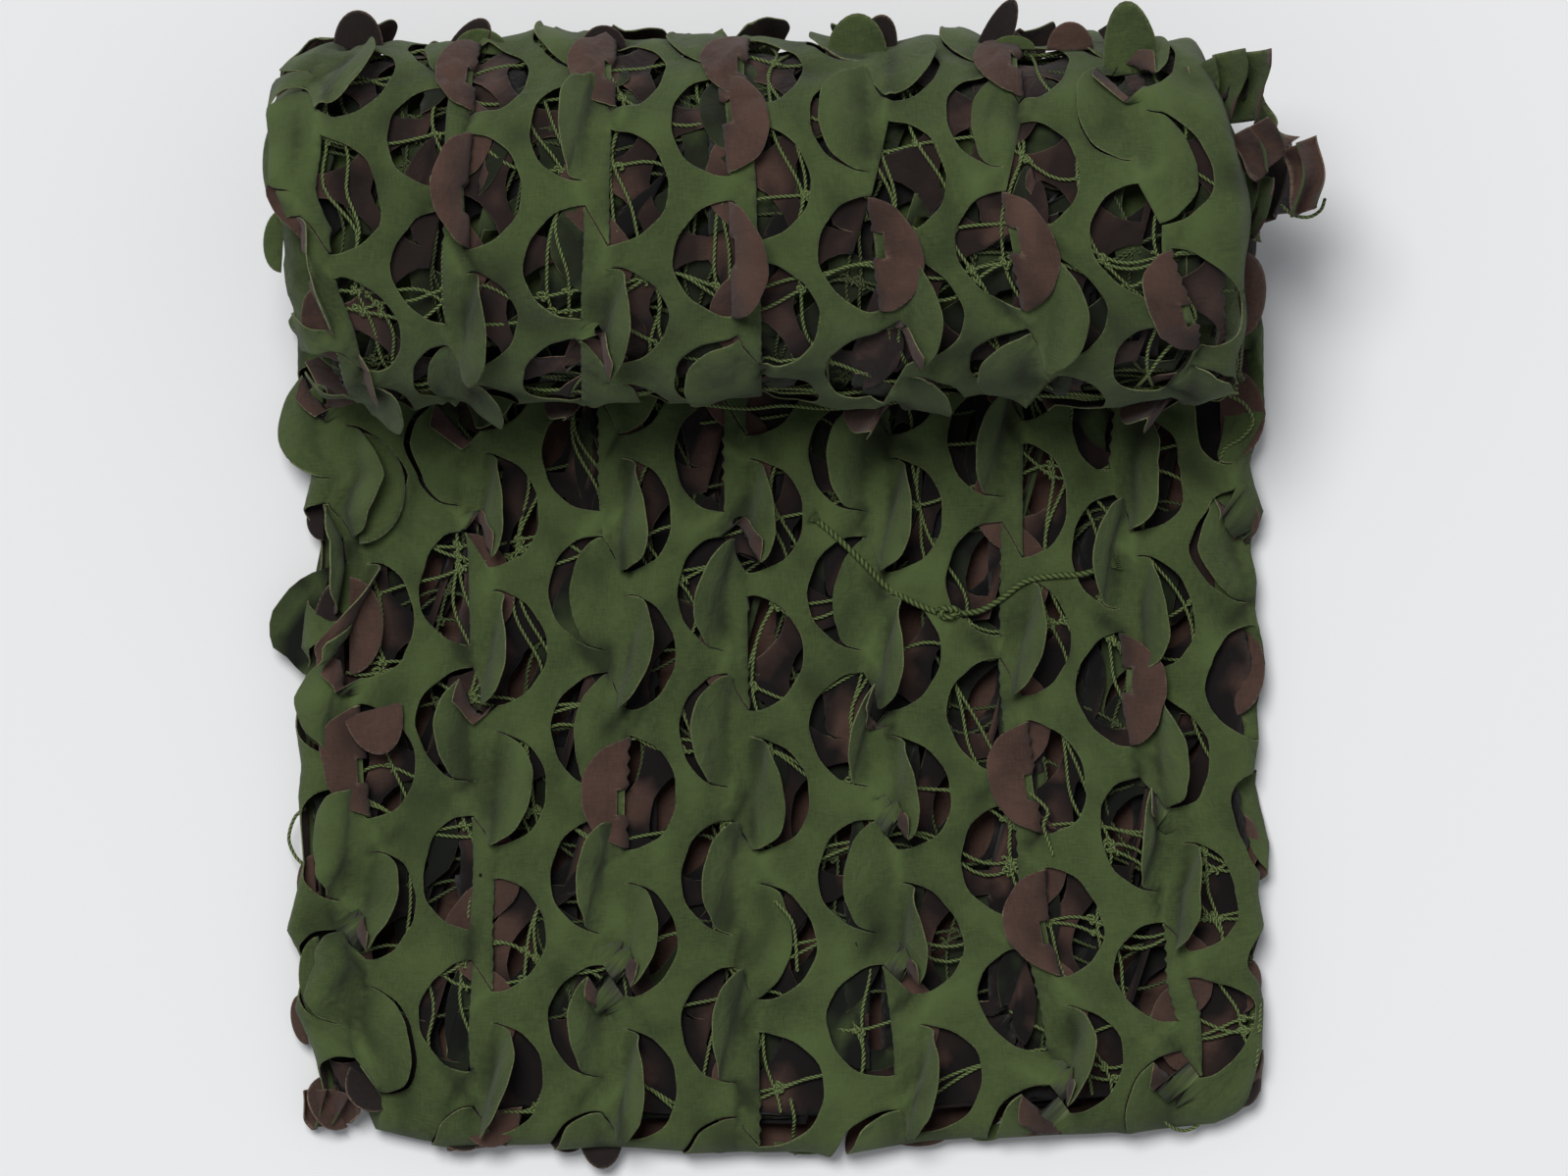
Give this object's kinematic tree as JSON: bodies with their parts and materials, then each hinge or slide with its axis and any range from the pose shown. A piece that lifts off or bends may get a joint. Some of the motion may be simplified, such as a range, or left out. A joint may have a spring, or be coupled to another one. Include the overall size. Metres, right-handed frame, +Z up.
{
  "type": "camouflage net",
  "caption": "Camouflage net of leaf-cut green and brown cloth on a net of cord, folded lengthwise and rolled up, with its free end lying flat and a knotted tie on it",
  "frame": {"origin": "on the floor under the free end, near the middle of the footprint", "axes": "+X to the right across the roll, +Y from the free end towards the roll, +Z up"},
  "size_m": [0.539, 0.5851, 0.1964],
  "materials": {
    "green_cloth": "matt woven cloth, green on its face and brown on its back, with pale frayed cut edges",
    "brown_cloth": "matt woven cloth, brown side out",
    "olive_cord": "matt twisted cord"
  },
  "bodies": {
    "root": {"tongue_cloth": "green_cloth", "roll_cloth": "green_cloth", "tongue_folds": "brown_cloth", "roll_folds": "brown_cloth", "tongue_net": "olive_cord", "roll_net": "olive_cord", "tie_left": "olive_cord", "tie_right": "olive_cord", "tie_knot": "olive_cord"}
  },
  "joints": []
}
